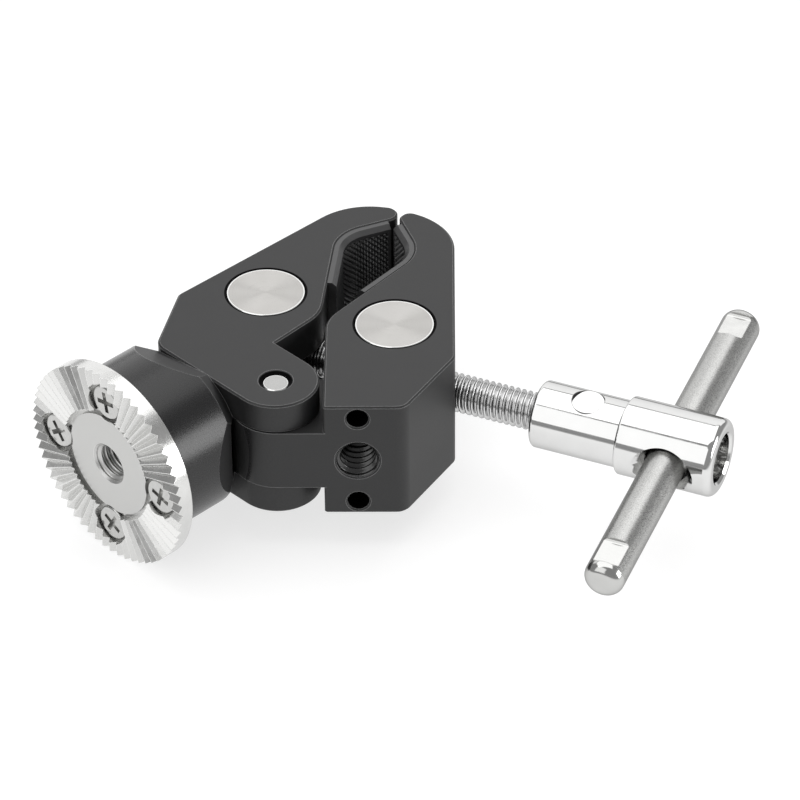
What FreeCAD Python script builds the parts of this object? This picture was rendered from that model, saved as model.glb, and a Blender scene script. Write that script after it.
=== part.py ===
import FreeCAD, Part
import math
import os

# Super clamp: two jaws on a pivot pin, closed by a T-handle screw that runs through two swivelling
# trunnions. The left jaw carries a round stem with a toothed rosette disc. All sizes in mm.
#
# Everything is modelled about the pivot: +Z is the pivot axis, z = 0 is the middle of the jaws'
# thickness and +Y points to the jaw tips. to_row_frame() then moves the origin to the mouth of the
# tripod thread in the right jaw's end face.

# Jaws
JAW_HALF_THICKNESS = 9.75
JAW_EDGE_BEVEL = 0.28
END_FACE_Y = -6.57
RIGHT_INNER_X = 6.97
RIGHT_OUTER_X = 26.15
CLOSING_ANGLE = 67.15          # direction from the pivot along the line where the jaws meet
OPENING_ANGLE = 37.9           # how far the left jaw swings open

# Pivot: the right jaw's tongue turns between the left jaw's two ears
EAR_RADIUS = 6.36
TONGUE_RADIUS = 6.57
TONGUE_HALF_THICKNESS = 4.95
TONGUE_SLOT_HALF = 5.1
TONGUE_SLOT_RADIUS = 8.0
PIN_RADIUS = 2.05
PIN_HALF_LENGTH = 9.3
PIN_RUNNING_CLEARANCE = 0.05
PIN_COUNTERSINK_RADIUS = 2.6
PIN_COUNTERSINK_DEPTH = 0.5

# Trunnions: both stand at the same distance from the pivot, so they turn half as far as the jaw
LINK_RADIUS = 22.1
LEFT_TRUNNION_ANGLE = 95.4
RIGHT_TRUNNION_ANGLE = 38.9
TRUNNION_RADIUS = 5.95
TRUNNION_CLEARANCE = 0.05
TRUNNION_HALF_LENGTH = 9.7
TRUNNION_BEVEL = 0.15

# Screw, measured along its axis from the left trunnion's centre
SCREW_CREST_RADIUS = 2.9
SCREW_CLEARANCE = 0.05
JOURNAL_RADIUS = 2.2
JOURNAL_END = -4.6
SHOULDER_START = 3.75
SCREW_END = 56.5
SLOT_HALF_WIDTH = 3.35
WASHER_RADIUS = 3.7
WASHER_THICKNESS = 0.8
RING_RADIUS = 3.4
RING_THICKNESS = 0.8
RING_GROOVE_RADIUS = 1.75
POCKET_RADIUS = 3.85
POCKET_FLOOR = 2.9             # distance of both pocket floors from the left trunnion's axis
ACCESS_BORE_RADIUS = 3.9

# Handle
HUB_START = 44.2
HUB_STEP = 57.85
HUB_END = 72.8
HUB_SMALL_RADIUS = 5.1
HUB_LARGE_RADIUS = 5.92
HUB_BORE_RADIUS = 3.7
HUB_BORE_START = 59.0
BAR_STATION = 65.46            # where the bar crosses the screw axis
BAR_RADIUS = 3.0
BAR_FRONT_END = 30.2
BAR_REAR_END = -29.5
BAR_END_ROUNDING = 1.7
BAR_TILT = 6.1                 # the bar's front end hangs this many degrees below level
BAR_HOLE_RADIUS = 3.3
BAR_FLAT_DEPTH = 0.7
BAR_FLAT_LENGTH = 4.9
CROSS_PIN_STATION = 51.95
CROSS_PIN_HEAD_RADIUS = 2.4
CROSS_PIN_HEAD_DEPTH = 1.3
CROSS_PIN_SHANK_RADIUS = 1.5

# Rubber pads: a V seat. Its corner is given as (distance along, distance from) the closing line, and
# its two sides run from there to the corners of each jaw's outline; side 1 is the right jaw
SEAT_CORNER = (37.65, 6.84)
SEAT_CORNER_RADIUS = 6.5
JAW_THROAT = {-1: (6.24, 16.65), 1: (RIGHT_INNER_X, 15.16)}
JAW_TIP = {-1: (21.67, 43.17), 1: (16.61, 44.14)}
PAD_LOWER_LENGTH = 12.92       # from the seat's corner
PAD_UPPER_LENGTH = 8.47
PAD_THICKNESS = 1.4
PAD_HALF_HEIGHT = 9.6
PAD_EDGE_CHAMFER = 0.65
PAD_TIP_GAP = 0.2              # from the closing line

# Tripod thread and locating holes in the right jaw's end face
TRIPOD_X = 11.94
TRIPOD_RADIUS = 3.175          # 1/4 inch
TRIPOD_DEPTH = 11.0
LOCATING_OFFSET = 7.54
LOCATING_RADIUS = 1.6
LOCATING_DEPTH = 4.0
HOLE_BEVEL = 0.25

# Rosette stem, measured along its own axis from the plane of that axis through the pivot
STEM_DIRECTION = 225.0
STEM_OFFSET = 12.135           # the stem's axis passes the pivot at this distance
STEM_RADIUS = 13.1
STEM_ROOT = 6.36
STEM_CONE_END = 9.05
STEM_ROOT_RADIUS = 10.4
STEM_END = 20.3
STEM_FACET_START = 12.45       # where the flats run out on the stem
STEM_TOP_SLOPE = 0.606
STEM_TOP_TILT = 0.117
STEM_TOP_HEIGHT = 9.47         # height of the top flat over the root's centre
STEM_SIDE_SLOPE = 0.5

# Rosette disc
ROSETTE_RADIUS = 15.9
ROSETTE_BACK = 20.3
ROSETTE_CREST = 23.0
ROSETTE_TEETH = 60
TEETH_INNER_RADIUS = 9.0
CREST_LAND = 0.2               # half the flat on each crest, in degrees
HUB_FACE = 22.3
HUB_FACE_RADIUS = 8.2
RING_GROOVE_FLOOR = 21.7
ROSETTE_THREAD_RADIUS = 3.0    # M6
ROSETTE_THREAD_END = 10.8
ROSETTE_SCREW_CIRCLE = 11.1
COUNTERBORE_RADIUS = 3.2
COUNTERBORE_FLOOR = 21.3
SCREW_HEAD_RADIUS = 2.75
SCREW_HEAD_TOP = 22.25
SHANK_RADIUS = 1.25
SHANK_END = 15.0
CROSS_RECESS_DEPTH = 0.7
CROSS_RECESS_WIDTH = 0.75
CROSS_RECESS_LENGTH = 3.4

UP = FreeCAD.Vector(0, 0, 1)


def point(x, y, z=0.0):
    return FreeCAD.Vector(x, y, z)


def polar(radius, degrees):
    angle = math.radians(degrees)
    return point(radius * math.cos(angle), radius * math.sin(angle))


def rounded_wire(corners):
    """Closed wire in the XY plane through (x, y, radius) corners, each rounded by its radius."""
    count = len(corners)
    edges = []
    ends = []
    for index in range(count):
        here = point(*corners[index][:2])
        before = (point(*corners[index - 1][:2]) - here).normalize()
        after = (point(*corners[(index + 1) % count][:2]) - here).normalize()
        radius = corners[index][2]
        half_angle = before.getAngle(after) / 2
        if radius == 0:
            ends.append((here, here, None))
            continue
        reach = radius / math.tan(half_angle)
        middle = (before + after).normalize() * (radius / math.sin(half_angle) - radius)
        ends.append((here + before * reach, here + after * reach, here + middle))
    for index in range(count):
        start, end, middle = ends[index]
        if middle is not None:
            edges.append(Part.Arc(start, middle, end).toShape())
        following = ends[(index + 1) % count][0]
        if end.distanceToPoint(following) > 1e-6:
            edges.append(Part.LineSegment(end, following).toShape())
    return Part.Wire(Part.__sortEdges__(edges))


def plate(corners, half_height):
    """Plate with a rounded outline, centred on z = 0."""
    face = Part.Face(rounded_wire(corners))
    face.translate(point(0, 0, -half_height))
    return face.extrude(point(0, 0, 2 * half_height))


def rod(radius, start, end, origin, direction):
    """Cylinder along a direction from the origin, between two stations."""
    return Part.makeCylinder(radius, end - start, origin + direction * start, direction)


def cone(start_radius, end_radius, start, end, origin, direction):
    base = origin + direction * start
    return Part.makeCone(start_radius, end_radius, end - start, base, direction)


def level_rim_edges(solid, height):
    """Edges that lie wholly in the planes z = height and z = -height."""
    found = []
    for edge in solid.Edges:
        box = edge.BoundBox
        if box.ZLength < 1e-6 and abs(abs(box.ZMin) - height) < 1e-6:
            found.append(edge)
    return found


def bevel_rims(solid, height, size):
    return solid.makeChamfer(size, level_rim_edges(solid, height))


LEFT_TRUNNION = polar(LINK_RADIUS, LEFT_TRUNNION_ANGLE)
RIGHT_TRUNNION = polar(LINK_RADIUS, RIGHT_TRUNNION_ANGLE)
SCREW_AXIS = (RIGHT_TRUNNION - LEFT_TRUNNION).normalize()
SCREW_ANGLE = math.degrees(math.atan2(SCREW_AXIS.y, SCREW_AXIS.x))
ALONG_CLOSING = polar(1, CLOSING_ANGLE)
ACROSS_CLOSING = polar(1, CLOSING_ANGLE - 90)      # towards the right jaw
SIDEWAYS = SCREW_AXIS.cross(UP)                    # level, across the screw, towards the front
BAR_AXIS = (SIDEWAYS * math.cos(math.radians(BAR_TILT)) - UP * math.sin(math.radians(BAR_TILT)))
CROSS_PIN_AXIS = BAR_AXIS.cross(SCREW_AXIS).normalize()
BAR_CENTRE = LEFT_TRUNNION + SCREW_AXIS * BAR_STATION
STEM_AXIS = polar(1, STEM_DIRECTION)
STEM_ACROSS = polar(1, STEM_DIRECTION + 90)
STEM_ORIGIN = STEM_ACROSS * -STEM_OFFSET


def seat_corner(side):
    """Corner of a jaw's V seat."""
    along, across = SEAT_CORNER
    return ALONG_CLOSING * along + ACROSS_CLOSING * (across * side)


def screw_slot(centre, first_angle, second_angle, reach):
    """Slot that leaves room for the screw to swing between two directions from a trunnion."""
    slot = None
    for angle in (first_angle, second_angle):
        box = Part.makeBox(reach, 2 * SLOT_HALF_WIDTH, 2 * SLOT_HALF_WIDTH)
        box.translate(point(0, -SLOT_HALF_WIDTH, -SLOT_HALF_WIDTH))
        box.rotate(point(0, 0), UP, angle)
        box.translate(centre)
        slot = box if slot is None else slot.fuse(box)
    corners = [centre, centre + polar(reach, first_angle), centre + polar(reach, second_angle)]
    wedge = Part.Face(Part.makePolygon(corners + [centre]))
    wedge.translate(point(0, 0, -SLOT_HALF_WIDTH))
    return slot.fuse(wedge.extrude(point(0, 0, 2 * SLOT_HALF_WIDTH)))


def stem():
    """Round stem of the rosette: a turned cylinder that is milled down to the jaw with four flats."""
    body = rod(STEM_RADIUS, STEM_CONE_END, STEM_END, STEM_ORIGIN, STEM_AXIS)
    root = cone(STEM_ROOT_RADIUS, STEM_RADIUS, STEM_ROOT - 0.5, STEM_CONE_END, STEM_ORIGIN, STEM_AXIS)
    body = body.fuse(root)
    far = STEM_RADIUS * 2
    for side in (1, -1):
        # Flats over and under the jaw: each tilts a little across the stem
        corners = []
        for across in (-far, far):
            for along in (STEM_ROOT - 2, STEM_END):
                height = STEM_TOP_HEIGHT + STEM_TOP_SLOPE * (along - STEM_ROOT) + STEM_TOP_TILT * across
                corners.append(STEM_ORIGIN + STEM_AXIS * along + STEM_ACROSS * across + UP * (height * side))
        outline = [corners[0], corners[1], corners[3], corners[2], corners[0]]
        body = body.cut(Part.Face(Part.makePolygon(outline)).extrude(UP * (far * side)))
        # Flats on the two sides
        rise = STEM_SIDE_SLOPE * (STEM_FACET_START - STEM_ROOT + 2)
        near = STEM_ORIGIN + STEM_AXIS * (STEM_ROOT - 2) + STEM_ACROSS * ((STEM_RADIUS - rise) * side)
        run_out = STEM_ORIGIN + STEM_AXIS * STEM_FACET_START + STEM_ACROSS * (STEM_RADIUS * side)
        outer = STEM_ORIGIN + STEM_AXIS * (STEM_ROOT - 2) + STEM_ACROSS * (far * side)
        flat = Part.Face(Part.makePolygon([near, run_out, outer, near]))
        flat.translate(UP * -far)
        body = body.cut(flat.extrude(UP * (2 * far)))
    return body


def left_jaw():
    seat = seat_corner(-1)
    diagonal = EAR_RADIUS * math.sqrt(2)
    corners = [
        (-17.89, 17.89 - diagonal, 3.0),
        (-15.11, 21.61, 1.5),
        (9.79, 45.5, 10.7),
        (*JAW_TIP[-1], 1.8),
        (seat.x, seat.y, SEAT_CORNER_RADIUS),
        (*JAW_THROAT[-1], 7.0),
        (-0.35, diagonal + 0.35, 0.0),
        (diagonal, 0.0, EAR_RADIUS),
        (0.0, -diagonal, EAR_RADIUS),
    ]
    solid = bevel_rims(plate(corners, JAW_HALF_THICKNESS), JAW_HALF_THICKNESS, JAW_EDGE_BEVEL)
    solid = solid.fuse(stem()).removeSplitter()
    gap = Part.makeCylinder(TONGUE_SLOT_RADIUS, 2 * TONGUE_SLOT_HALF, point(0, 0, -TONGUE_SLOT_HALF))
    hole = rod(TRUNNION_RADIUS + TRUNNION_CLEARANCE, -20, 20, LEFT_TRUNNION, UP)
    pin_hole = rod(PIN_RADIUS, -20, 20, point(0, 0), UP)
    slot = screw_slot(LEFT_TRUNNION, SCREW_ANGLE, SCREW_ANGLE - OPENING_ANGLE / 2, 30.0)
    access = rod(ACCESS_BORE_RADIUS, 2.0, 25.0, LEFT_TRUNNION, SCREW_AXIS * -1)
    thread = rod(ROSETTE_THREAD_RADIUS, ROSETTE_THREAD_END, STEM_END + 1, STEM_ORIGIN, STEM_AXIS)
    solid = solid.cut([gap, hole, pin_hole, slot, access, thread])
    for side in (1, -1):
        mouth = point(0, 0, (JAW_HALF_THICKNESS - PIN_COUNTERSINK_DEPTH) * side)
        sink = Part.makeCone(PIN_RADIUS, PIN_COUNTERSINK_RADIUS, PIN_COUNTERSINK_DEPTH, mouth, UP * side)
        solid = solid.cut(sink)
    for quarter in range(4):
        solid = solid.cut(rod(SHANK_RADIUS, SHANK_END, STEM_END + 1, rosette_screw_origin(quarter), STEM_AXIS))
    return solid


def right_jaw():
    seat = seat_corner(1)
    corners = [
        (RIGHT_INNER_X, END_FACE_Y, 0.4),
        (18.8, END_FACE_Y, 2.3),
        (RIGHT_OUTER_X, 5.6, 2.0),
        (RIGHT_OUTER_X, 39.89, 10.15),
        (*JAW_TIP[1], 1.6),
        (seat.x, seat.y, SEAT_CORNER_RADIUS),
        (*JAW_THROAT[1], 7.0),
    ]
    solid = bevel_rims(plate(corners, JAW_HALF_THICKNESS), JAW_HALF_THICKNESS, JAW_EDGE_BEVEL)
    strip = Part.makeBox(RIGHT_INNER_X + 2, 2 * TONGUE_RADIUS, 2 * TONGUE_HALF_THICKNESS)
    strip.translate(point(0, -TONGUE_RADIUS, -TONGUE_HALF_THICKNESS))
    nose = rod(TONGUE_RADIUS, -TONGUE_HALF_THICKNESS, TONGUE_HALF_THICKNESS, point(0, 0), UP)
    solid = solid.fuse([strip, nose]).removeSplitter()
    hole = rod(TRUNNION_RADIUS + TRUNNION_CLEARANCE, -20, 20, RIGHT_TRUNNION, UP)
    pin_hole = rod(PIN_RADIUS + PIN_RUNNING_CLEARANCE, -20, 20, point(0, 0), UP)
    opened = SCREW_ANGLE + OPENING_ANGLE / 2
    outer_slot = screw_slot(RIGHT_TRUNNION, SCREW_ANGLE, opened, 30.0)
    inner_slot = screw_slot(RIGHT_TRUNNION, SCREW_ANGLE + 180, opened + 180, 30.0)
    solid = solid.cut([hole, pin_hole, outer_slot, inner_slot])
    inward = point(0, 1)
    drillings = [(0.0, TRIPOD_RADIUS, TRIPOD_DEPTH)]
    for offset in (LOCATING_OFFSET, -LOCATING_OFFSET):
        drillings.append((offset, LOCATING_RADIUS, LOCATING_DEPTH))
    for height, radius, depth in drillings:
        mouth = point(TRIPOD_X, END_FACE_Y, height)
        solid = solid.cut(rod(radius, -1, depth, mouth, inward))
        solid = solid.cut(cone(radius + HOLE_BEVEL + 1, radius, -1, HOLE_BEVEL, mouth, inward))
    return solid


def grip_pad(side):
    """V-shaped rubber pad on one jaw's seat, with chamfered gripping edges."""
    seat = seat_corner(side)
    lower = (point(*JAW_THROAT[side]) - seat).normalize()
    upper = (point(*JAW_TIP[side]) - seat).normalize()
    inwards = (lower + upper).normalize() * (PAD_THICKNESS / math.sin(lower.getAngle(upper) / 2))
    grip_radius = SEAT_CORNER_RADIUS - PAD_THICKNESS
    seat_ends = [seat + lower * PAD_LOWER_LENGTH, seat + upper * PAD_UPPER_LENGTH]
    grip_ends = []
    for end, direction in zip(seat_ends, (lower, upper)):
        square = direction.cross(UP)
        if square.dot(inwards) < 0:
            square = square * -1
        grip_ends.append(end + square * PAD_THICKNESS)
    outline = [(seat_ends[0], 0), (grip_ends[0], 0), (seat + inwards, grip_radius),
               (grip_ends[1], 0), (seat_ends[1], 0), (seat, SEAT_CORNER_RADIUS)]
    band = plate([(place.x, place.y, radius) for place, radius in outline], PAD_HALF_HEIGHT)
    gripping = []
    for edge in level_rim_edges(band, PAD_HALF_HEIGHT):
        if edge.Curve.TypeId == "Part::GeomCircle":
            if abs(edge.Curve.Radius - grip_radius) < 1e-6:
                gripping.append(edge)
            continue
        ends = [point(vertex.X, vertex.Y) for vertex in edge.Vertexes]
        on_grip = any(end.distanceToPoint(known) < 1e-6 for end in ends for known in grip_ends)
        on_seat = any(end.distanceToPoint(known) < 1e-6 for end in ends for known in seat_ends)
        if on_grip and not on_seat:
            gripping.append(edge)
    band = band.makeChamfer(PAD_EDGE_CHAMFER, gripping)
    # Trim the tip so that it stops short of the other jaw's pad
    keep = Part.makeBox(60, 40, 40, point(0, 0, -20))
    start = ACROSS_CLOSING * (PAD_TIP_GAP * side)
    turn = FreeCAD.Rotation(ALONG_CLOSING, ACROSS_CLOSING * side, UP * -side, "XYZ")
    keep.Placement = FreeCAD.Placement(start, turn).multiply(keep.Placement)
    return band.common(keep)


def pivot_pin():
    pin = rod(PIN_RADIUS, -PIN_HALF_LENGTH, PIN_HALF_LENGTH, point(0, 0), UP)
    return pin.makeChamfer(0.25, [edge for edge in pin.Edges if edge.BoundBox.ZLength < 1e-6])


def trunnion_blank(centre):
    blank = rod(TRUNNION_RADIUS, -TRUNNION_HALF_LENGTH, TRUNNION_HALF_LENGTH, centre, UP)
    return blank.makeChamfer(TRUNNION_BEVEL, [edge for edge in blank.Edges if edge.BoundBox.ZLength < 1e-6])


def left_trunnion():
    """Swivel that holds the screw's journal between a washer pocket and a ring pocket."""
    bore = rod(JOURNAL_RADIUS + SCREW_CLEARANCE, -10, 10, LEFT_TRUNNION, SCREW_AXIS)
    washer_pocket = rod(POCKET_RADIUS, POCKET_FLOOR, 10, LEFT_TRUNNION, SCREW_AXIS)
    ring_pocket = rod(POCKET_RADIUS, -10, -POCKET_FLOOR, LEFT_TRUNNION, SCREW_AXIS)
    return trunnion_blank(LEFT_TRUNNION).cut([bore, washer_pocket, ring_pocket])


def right_trunnion():
    """Swivel nut: its M6 thread is a plain bore just over the screw's crests."""
    bore = rod(SCREW_CREST_RADIUS + SCREW_CLEARANCE, -10, 10, RIGHT_TRUNNION, SCREW_AXIS)
    return trunnion_blank(RIGHT_TRUNNION).cut(bore)


def clamp_screw():
    """Screw with its thread at crest size, a grooved journal and a bevelled shoulder."""
    bevel = 0.5
    screw = rod(SCREW_CREST_RADIUS, SHOULDER_START + bevel, SCREW_END, LEFT_TRUNNION, SCREW_AXIS)
    start = SCREW_CREST_RADIUS - bevel
    screw = screw.fuse(cone(start, SCREW_CREST_RADIUS, SHOULDER_START, SHOULDER_START + bevel,
                            LEFT_TRUNNION, SCREW_AXIS))
    journal = rod(JOURNAL_RADIUS, JOURNAL_END, SHOULDER_START + 0.1, LEFT_TRUNNION, SCREW_AXIS)
    groove = rod(JOURNAL_RADIUS + 1, ring_start(), ring_start() + RING_THICKNESS, LEFT_TRUNNION, SCREW_AXIS)
    core = rod(RING_GROOVE_RADIUS, JOURNAL_END, 0, LEFT_TRUNNION, SCREW_AXIS)
    screw = screw.fuse(journal.cut(groove).fuse(core)).removeSplitter()
    shank_hole = rod(CROSS_PIN_SHANK_RADIUS, -10, 10, cross_pin_centre(), CROSS_PIN_AXIS)
    return screw.cut(shank_hole)


def ring_start():
    return -POCKET_FLOOR - 0.05 - RING_THICKNESS


def cross_pin_centre():
    return LEFT_TRUNNION + SCREW_AXIS * CROSS_PIN_STATION


def thrust_washer():
    start = POCKET_FLOOR
    outside = rod(WASHER_RADIUS, start, start + WASHER_THICKNESS, LEFT_TRUNNION, SCREW_AXIS)
    return outside.cut(rod(JOURNAL_RADIUS + SCREW_CLEARANCE, 0, 10, LEFT_TRUNNION, SCREW_AXIS))


def screw_end_ring():
    """Open retaining ring sprung into the journal's groove."""
    start = ring_start()
    outside = rod(RING_RADIUS, start, start + RING_THICKNESS, LEFT_TRUNNION, SCREW_AXIS)
    ring = outside.cut(rod(RING_GROOVE_RADIUS, -10, 0, LEFT_TRUNNION, SCREW_AXIS))
    opening = Part.makeBox(2.4, RING_RADIUS + 1, 10, point(-1.2, 0, -5))
    opening.Placement = FreeCAD.Placement(
        LEFT_TRUNNION, FreeCAD.Rotation(UP, UP.cross(SCREW_AXIS), SCREW_AXIS, "ZXY")).multiply(opening.Placement)
    return ring.cut(opening)


def handle_hub():
    """Stepped hub: rounded rims, an open outer end and a flared hole for the bar."""
    rounding = 0.6
    step = 0.35
    end_rounding = 1.1
    bore_bevel = 0.35
    screw_bore = SCREW_CREST_RADIUS + 0.02
    half = 1 - math.sqrt(0.5)
    profile = [
        ("line", (HUB_START, screw_bore)),
        ("line", (HUB_START, HUB_SMALL_RADIUS - rounding)),
        ("arc", (HUB_START + half * rounding, HUB_SMALL_RADIUS - half * rounding),
         (HUB_START + rounding, HUB_SMALL_RADIUS)),
        ("line", (HUB_STEP, HUB_SMALL_RADIUS)),
        ("line", (HUB_STEP, HUB_LARGE_RADIUS - step)),
        ("arc", (HUB_STEP + half * step, HUB_LARGE_RADIUS - half * step), (HUB_STEP + step, HUB_LARGE_RADIUS)),
        ("line", (HUB_END - end_rounding, HUB_LARGE_RADIUS)),
        ("arc", (HUB_END - half * end_rounding, HUB_LARGE_RADIUS - half * end_rounding),
         (HUB_END, HUB_LARGE_RADIUS - end_rounding)),
        ("line", (HUB_END, HUB_BORE_RADIUS + bore_bevel)),
        ("line", (HUB_END - bore_bevel, HUB_BORE_RADIUS)),
        ("line", (HUB_BORE_START, HUB_BORE_RADIUS)),
        ("line", (HUB_BORE_START, screw_bore)),
    ]
    edges = []
    here = profile[-1][-1]
    for step_kind, *places in profile:
        ends = [point(x, r) for x, r in [here] + places]
        if step_kind == "arc":
            edges.append(Part.Arc(*ends).toShape())
        else:
            edges.append(Part.LineSegment(*ends).toShape())
        here = places[-1]
    hub = Part.Face(Part.Wire(edges)).revolve(point(0, 0), point(1, 0), 360)
    hub = Part.Solid(hub) if hub.ShapeType != "Solid" else hub
    hub.Placement = FreeCAD.Placement(LEFT_TRUNNION, FreeCAD.Rotation(point(1, 0), SCREW_AXIS))
    flare = 1.3
    hub = hub.cut(rod(BAR_HOLE_RADIUS, -10, 10, BAR_CENTRE, BAR_AXIS))
    for side in (1, -1):
        start = HUB_LARGE_RADIUS - 1.75
        hub = hub.cut(cone(BAR_HOLE_RADIUS, BAR_HOLE_RADIUS + 2 * flare, start, start + 3.0, BAR_CENTRE,
                           BAR_AXIS * side))
    return hub.cut(cross_pin_solid(0.03))


def cross_pin_solid(clearance):
    """Headed pin along the cross pin axis; a clearance makes it the hole for itself."""
    centre = cross_pin_centre()
    top = HUB_SMALL_RADIUS - 0.45
    reach = HUB_SMALL_RADIUS - 0.15
    over = 2.0 if clearance else 0.0
    head = rod(CROSS_PIN_HEAD_RADIUS + clearance, top - CROSS_PIN_HEAD_DEPTH, top + over, centre, CROSS_PIN_AXIS)
    shank = rod(CROSS_PIN_SHANK_RADIUS, -reach - over, top - 0.5, centre, CROSS_PIN_AXIS)
    return head.fuse(shank).removeSplitter()


def handle_bar():
    """Round bar with domed ends, and a pressed flat near each end that keeps it in the hub."""
    length = BAR_FRONT_END - BAR_REAR_END
    bar = rod(BAR_RADIUS, BAR_REAR_END, BAR_FRONT_END, BAR_CENTRE, BAR_AXIS)
    bar = bar.makeFillet(BAR_END_ROUNDING, [edge for edge in bar.Edges if edge.Curve.TypeId == "Part::GeomCircle"])
    middle = (BAR_FRONT_END + BAR_REAR_END) / 2
    for side in (1, -1):
        centre = BAR_CENTRE + BAR_AXIS * (middle + side * (length / 2 - 1.8 - BAR_FLAT_LENGTH / 2))
        for face in (1, -1):
            block = Part.makeBox(BAR_FLAT_LENGTH, 2 * BAR_RADIUS + 2, 2.0)
            block.translate(point(-BAR_FLAT_LENGTH / 2, -BAR_RADIUS - 1, BAR_RADIUS - BAR_FLAT_DEPTH))
            block = block.makeFillet(0.5, [edge for edge in block.Edges
                                           if edge.BoundBox.ZLength < 1e-6 and edge.BoundBox.XLength < 1e-6
                                           and edge.BoundBox.ZMin < BAR_RADIUS])
            turn = FreeCAD.Rotation(BAR_AXIS, UP, CROSS_PIN_AXIS * face, "XZY")
            block.Placement = FreeCAD.Placement(centre, turn).multiply(block.Placement)
            bar = bar.cut(block)
    return bar


def rosette_screw_origin(quarter):
    angle = math.radians(90 * quarter)
    offset = STEM_ACROSS * math.cos(angle) + UP * math.sin(angle)
    return STEM_ORIGIN + offset * ROSETTE_SCREW_CIRCLE


def rosette_disc():
    disc = rod(ROSETTE_RADIUS, ROSETTE_BACK, ROSETTE_CREST, STEM_ORIGIN, STEM_AXIS)
    cuts = [
        rod(TEETH_INNER_RADIUS, RING_GROOVE_FLOOR, ROSETTE_CREST + 1, STEM_ORIGIN, STEM_AXIS).cut(
            rod(HUB_FACE_RADIUS, RING_GROOVE_FLOOR, HUB_FACE, STEM_ORIGIN, STEM_AXIS)),
        rod(ROSETTE_THREAD_RADIUS, 0, 30, STEM_ORIGIN, STEM_AXIS),
        cone(ROSETTE_THREAD_RADIUS, ROSETTE_THREAD_RADIUS + 0.6, HUB_FACE - 0.3, HUB_FACE + 0.3,
             STEM_ORIGIN, STEM_AXIS),
    ]
    for quarter in range(4):
        origin = rosette_screw_origin(quarter)
        cuts.append(rod(COUNTERBORE_RADIUS, COUNTERBORE_FLOOR, 30, origin, STEM_AXIS))
        cuts.append(rod(SHANK_RADIUS + 0.15, 0, 30, origin, STEM_AXIS))
    disc = disc.cut(cuts)
    return disc.cut([tooth_gap(index) for index in range(ROSETTE_TEETH)])


def tooth_gap(index):
    """Right-angled groove between two teeth, widening and deepening from the disc's centre outwards."""
    half_pitch = 180.0 / ROSETTE_TEETH
    reach = ROSETTE_RADIUS + 1.5
    middle = math.radians(2 * half_pitch * (index + 0.5))
    half_angle = math.radians(half_pitch - CREST_LAND)
    crest = STEM_ORIGIN + STEM_AXIS * ROSETTE_CREST

    def on_disc(angle, depth):
        radial = STEM_ACROSS * math.cos(angle) + UP * math.sin(angle)
        return crest + radial * reach - STEM_AXIS * depth

    left = on_disc(middle + half_angle, 0)
    right = on_disc(middle - half_angle, 0)
    root = on_disc(middle, reach * math.tan(half_angle))
    faces = []
    for corners in ((crest, left, root), (crest, root, right), (crest, right, left), (left, right, root)):
        faces.append(Part.Face(Part.makePolygon(list(corners) + [corners[0]])))
    return Part.Solid(Part.Shell(faces))


def rosette_screws():
    """Four cross-head screws that hold the disc on the stem."""
    solids = []
    for quarter in range(4):
        origin = rosette_screw_origin(quarter)
        head = rod(SCREW_HEAD_RADIUS, COUNTERBORE_FLOOR, SCREW_HEAD_TOP, origin, STEM_AXIS)
        rim = [edge for edge in head.Edges if edge.Curve.TypeId == "Part::GeomCircle"
               and abs((edge.Curve.Center - STEM_ORIGIN).dot(STEM_AXIS) - SCREW_HEAD_TOP) < 1e-6]
        head = head.makeFillet(0.35, rim)
        screw = head.fuse(rod(SHANK_RADIUS, SHANK_END, COUNTERBORE_FLOOR + 0.1, origin, STEM_AXIS))
        for turn in (30, 120):
            bar = Part.makeBox(CROSS_RECESS_LENGTH, CROSS_RECESS_WIDTH, 5.0)
            bar.translate(point(-CROSS_RECESS_LENGTH / 2, -CROSS_RECESS_WIDTH / 2, 0))
            bar.rotate(point(0, 0), UP, turn + 25 * quarter)
            base = origin + STEM_AXIS * (SCREW_HEAD_TOP - CROSS_RECESS_DEPTH)
            bar.Placement = FreeCAD.Placement(base, FreeCAD.Rotation(UP, STEM_AXIS)).multiply(bar.Placement)
            screw = screw.cut(bar)
        solids.append(screw.removeSplitter())
    return Part.makeCompound(solids)


def to_row_frame(shape):
    moved = shape.copy()
    moved.translate(point(-TRIPOD_X, -END_FACE_Y))
    return moved


NODES = {
    "left_jaw": left_jaw,
    "right_jaw": right_jaw,
    "pivot_pin": pivot_pin,
    "left_pad": lambda: grip_pad(-1),
    "right_pad": lambda: grip_pad(1),
    "left_trunnion": left_trunnion,
    "right_trunnion": right_trunnion,
    "clamp_screw": clamp_screw,
    "thrust_washer": thrust_washer,
    "screw_end_ring": screw_end_ring,
    "handle_hub": handle_hub,
    "hub_cross_pin": lambda: cross_pin_solid(0.0),
    "handle_bar": handle_bar,
    "rosette_disc": rosette_disc,
    "rosette_screws": rosette_screws,
}

os.makedirs("parts", exist_ok=True)
for name, build in NODES.items():
    shape = to_row_frame(build())
    shape.exportStep(f"parts/{name}.step")
    print(name, "valid", shape.isValid(), "solids", len(shape.Solids), "volume", round(shape.Volume, 1))
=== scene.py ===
import math

import bpy
from mathutils import Matrix, Vector


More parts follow.
